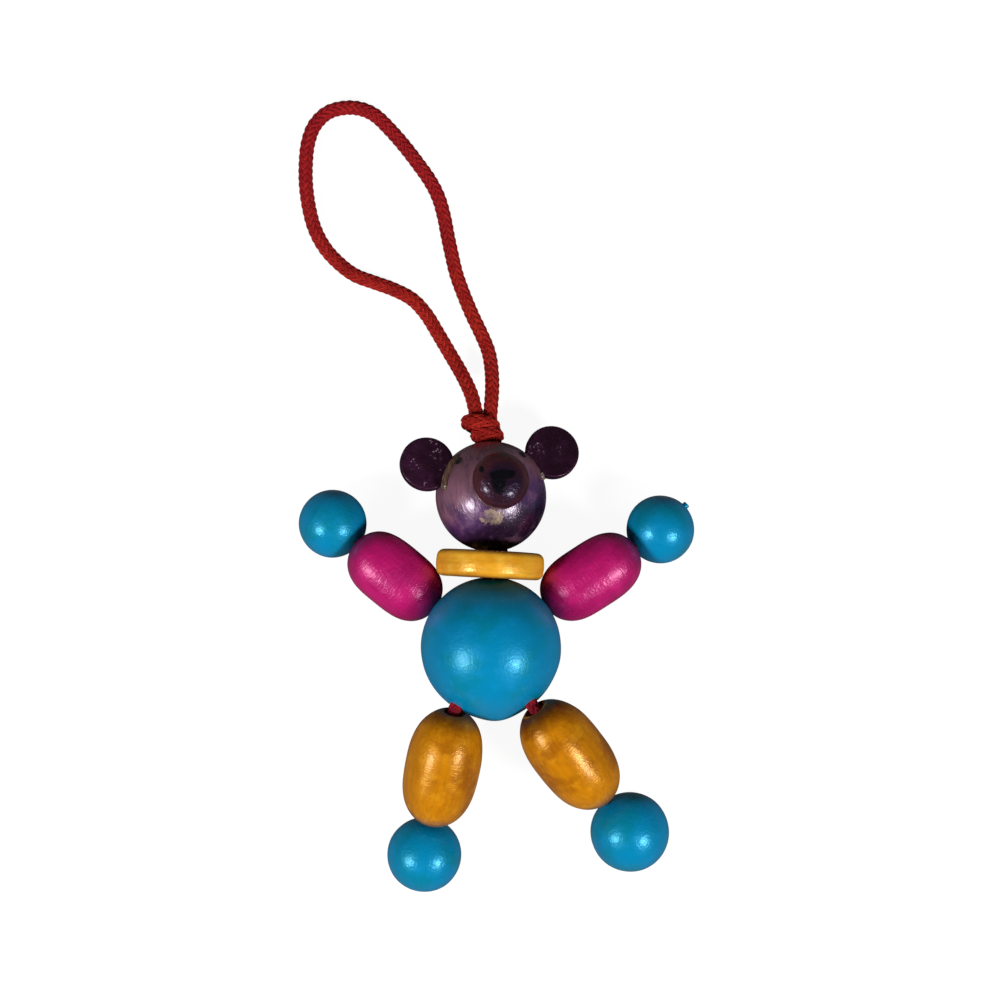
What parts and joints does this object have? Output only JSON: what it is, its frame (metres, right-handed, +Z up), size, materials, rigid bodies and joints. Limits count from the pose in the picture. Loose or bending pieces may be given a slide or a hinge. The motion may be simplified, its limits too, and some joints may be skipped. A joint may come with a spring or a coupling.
{
  "type": "wooden bead doll",
  "caption": "Small bear-shaped doll of lacquered wooden beads strung on red cord, with a hanging loop, lying on its back with its limbs spread.",
  "frame": {"origin": "bottom centre of the box round the beads and knot, on the table that the doll lies on; the free loop is left out", "axes": "+Z up from the table and out of the doll's front, +Y from its feet to its head, +X to the right of someone looking down at its face"},
  "size_m": [0.0867, 0.1732, 0.03],
  "materials": {
    "blue_lacquer": "satin lacquer",
    "pink_lacquer": "satin lacquer",
    "amber_lacquer": "satin lacquer",
    "honey_lacquer": "satin lacquer",
    "violet_lacquer": "satin lacquer",
    "dark_lacquer": "satin lacquer",
    "snout_lacquer": "gloss lacquer",
    "red_cotton": "braided cotton",
    "peg_wood": "satin lacquer"
  },
  "bodies": {
    "torso": {"torso_bead": "blue_lacquer", "left_torso_cord": "red_cotton", "right_torso_cord": "red_cotton", "shoulder_cord": "red_cotton"},
    "left_shoulder": {"left_shoulder_bend": "red_cotton"},
    "left_arm": {"left_arm_cord": "red_cotton"},
    "left_arm_bead": {"left_arm_bead": "pink_lacquer"},
    "left_hand": {"left_hand_bead": "blue_lacquer", "left_hand_cord": "red_cotton", "left_hand_peg": "peg_wood"},
    "left_hip": {"left_hip_bend": "red_cotton"},
    "left_leg": {"left_leg_cord": "red_cotton"},
    "left_leg_bead": {"left_leg_bead": "amber_lacquer"},
    "left_foot": {"left_foot_bead": "blue_lacquer", "left_foot_cord": "red_cotton"},
    "right_shoulder": {"right_shoulder_bend": "red_cotton"},
    "right_arm": {"right_arm_cord": "red_cotton"},
    "right_arm_bead": {"right_arm_bead": "pink_lacquer"},
    "right_hand": {"right_hand_bead": "blue_lacquer", "right_hand_cord": "red_cotton", "right_hand_peg": "peg_wood"},
    "right_hip": {"right_hip_bend": "red_cotton"},
    "right_leg": {"right_leg_cord": "red_cotton"},
    "right_leg_bead": {"right_leg_bead": "amber_lacquer"},
    "right_foot": {"right_foot_bead": "blue_lacquer", "right_foot_cord": "red_cotton"},
    "neck": {"left_neck_cord": "red_cotton", "right_neck_cord": "red_cotton"},
    "collar": {"collar_disc": "honey_lacquer"},
    "head_strings": {"left_head_cord": "red_cotton", "right_head_cord": "red_cotton", "loop_knot": "red_cotton"},
    "head": {"head_bead": "violet_lacquer", "left_ear": "dark_lacquer", "right_ear": "dark_lacquer", "snout": "snout_lacquer"},
    "loop": {"hanging_loop": "red_cotton"}
  },
  "joints": [
    {"name": "left_arm_swing", "type": "hinge", "parent": "torso", "child": "left_shoulder", "pos_m": [-0.01335, 0.00964, 0.0107], "axis": [0, 0, 1], "range_deg": [-3, 20]},
    {"name": "left_arm_lift", "type": "hinge", "parent": "left_shoulder", "child": "left_arm", "pos_m": [-0.01335, 0.00964, 0.0107], "axis": [0.6347, 0.7727, 0], "range_deg": [-20, 5]},
    {"name": "left_arm_spin", "type": "hinge", "parent": "left_arm", "child": "left_arm_bead", "pos_m": [-0.0219, 0.01666, 0.01113], "axis": [-0.7722, 0.6343, 0.0384], "continuous": true},
    {"name": "left_hand_swing", "type": "hinge", "parent": "left_arm", "child": "left_hand", "pos_m": [-0.03057, 0.02378, 0.01156], "axis": [0.0297, -0.0244, 0.9993], "range_deg": [-16, 16]},
    {"name": "left_leg_swing", "type": "hinge", "parent": "torso", "child": "left_hip", "pos_m": [-0.00883, -0.01118, 0.0195], "axis": [0, 0, 1], "range_deg": [-42, 8]},
    {"name": "left_leg_lift", "type": "hinge", "parent": "left_hip", "child": "left_leg", "pos_m": [-0.00883, -0.01118, 0.0195], "axis": [-0.9789, 0.2045, 0], "range_deg": [-5, 40]},
    {"name": "left_leg_spin", "type": "hinge", "parent": "left_leg", "child": "left_leg_bead", "pos_m": [-0.01163, -0.02459, 0.01659], "axis": [-0.2, -0.9575, -0.2079], "continuous": true},
    {"name": "left_foot_swing", "type": "hinge", "parent": "left_leg", "child": "left_foot", "pos_m": [-0.0144, -0.03785, 0.01371], "axis": [-0.0425, -0.2035, 0.9781], "range_deg": [-24, 24]},
    {"name": "right_arm_swing", "type": "hinge", "parent": "torso", "child": "right_shoulder", "pos_m": [0.01072, 0.01012, 0.0107], "axis": [0, 0, -1], "range_deg": [-3, 14]},
    {"name": "right_arm_lift", "type": "hinge", "parent": "right_shoulder", "child": "right_arm", "pos_m": [0.01072, 0.01012, 0.0107], "axis": [0.5534, -0.8329, 0], "range_deg": [-20, 5]},
    {"name": "right_arm_spin", "type": "hinge", "parent": "right_arm", "child": "right_arm_bead", "pos_m": [0.0204, 0.01655, 0.01111], "axis": [0.8324, 0.5531, 0.0349], "continuous": true},
    {"name": "right_hand_swing", "type": "hinge", "parent": "right_arm", "child": "right_hand", "pos_m": [0.0302, 0.02306, 0.01152], "axis": [0.0291, 0.0193, -0.9994], "range_deg": [-18, 18]},
    {"name": "right_leg_swing", "type": "hinge", "parent": "torso", "child": "right_hip", "pos_m": [0.00765, -0.01045, 0.0195], "axis": [0, 0, -1], "range_deg": [-20, 26]},
    {"name": "right_leg_lift", "type": "hinge", "parent": "right_hip", "child": "right_leg", "pos_m": [0.00765, -0.01045, 0.0195], "axis": [-0.8007, -0.599, 0], "range_deg": [-5, 40]},
    {"name": "right_leg_spin", "type": "hinge", "parent": "right_leg", "child": "right_leg_bead", "pos_m": [0.01597, -0.02158, 0.01603], "axis": [0.5812, -0.7769, -0.2419], "continuous": true},
    {"name": "right_foot_swing", "type": "hinge", "parent": "right_leg", "child": "right_foot", "pos_m": [0.02421, -0.03259, 0.01261], "axis": [-0.1449, 0.1937, -0.9703], "range_deg": [-26, 26]},
    {"name": "head_nod", "type": "hinge", "parent": "torso", "child": "neck", "pos_m": [-0.00072, 0.01641, 0.015], "axis": [1, 0, 0], "range_deg": [-4, 9]},
    {"name": "collar_spin", "type": "hinge", "parent": "neck", "child": "collar", "pos_m": [-0.00135, 0.0193, 0.01488], "axis": [0.0522, 0.9977, -0.0432], "continuous": true},
    {"name": "head_tilt", "type": "hinge", "parent": "neck", "child": "head_strings", "pos_m": [0.0003, 0.02191, 0.01476], "axis": [0.0079, 0.0429, 0.999], "range_deg": [-20, 4]},
    {"name": "head_turn", "type": "hinge", "parent": "head_strings", "child": "head", "pos_m": [-0.00116, 0.03391, 0.01182], "axis": [-0.1178, 0.9647, -0.2357], "continuous": true},
    {"name": "loop_lift", "type": "hinge", "parent": "head_strings", "child": "loop", "pos_m": [-0.00337, 0.05195, 0.00742], "axis": [0.9929, 0.1181, -0.013], "range_deg": [-30, 40]}
  ]
}
